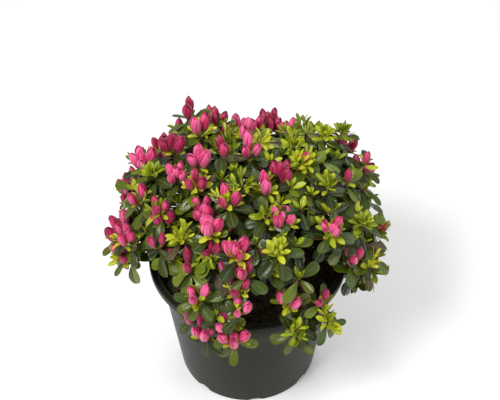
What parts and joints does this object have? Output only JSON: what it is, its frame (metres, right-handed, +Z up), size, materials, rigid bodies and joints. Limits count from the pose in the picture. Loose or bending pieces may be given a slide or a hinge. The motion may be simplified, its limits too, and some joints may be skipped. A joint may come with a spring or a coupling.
{
  "type": "azalea shrub in a nursery pot",
  "caption": "Small evergreen azalea in bud: short trunk, tapering boughs and leafy twigs in a dome over a round plastic nursery pot filled with soil.",
  "frame": {"origin": "centre of the pot's flat underside", "axes": "+Z up, -Y towards the plant's front and +X towards its right side as seen from the front"},
  "size_m": [0.2696, 0.2535, 0.293],
  "materials": {
    "pot_plastic": "satin dark grey injection-moulded plastic",
    "soil": "damp dark peat with fibres and a few pale grains",
    "bark": "thin reddish-brown bark, matt",
    "foliage": "glossy dark green leaves, yellow-green young leaves and pink buds",
    "buds": "furled bright pink petals, softly satin"
  },
  "bodies": {
    "root": {"pot": "pot_plastic", "soil": "soil", "trunk": "bark", "bough_top": "bark", "bough_upper_front": "bark", "bough_middle_front": "bark", "bough_upper_front_right": "bark", "bough_upper_right": "bark", "bough_upper_back": "bark", "bough_upper_back_left": "bark", "bough_upper_left": "bark", "bough_front_left": "bark", "bough_front_right": "bark", "bough_right_front": "bark", "bough_right_back": "bark", "bough_back_right": "bark", "bough_back_left": "bark", "bough_left_back": "bark", "bough_left_front": "bark", "foliage_top": "foliage", "foliage_upper_front": "foliage", "foliage_middle_front": "foliage", "foliage_upper_front_right": "foliage", "foliage_upper_right": "foliage", "foliage_upper_back": "foliage", "foliage_upper_back_left": "foliage", "foliage_upper_left": "foliage", "foliage_front_left": "foliage", "foliage_front_right": "foliage", "foliage_right_front": "foliage", "foliage_right_back": "foliage", "foliage_back_right": "foliage", "foliage_back_left": "foliage", "foliage_left_back": "foliage", "foliage_left_front": "foliage"}
  },
  "joints": []
}
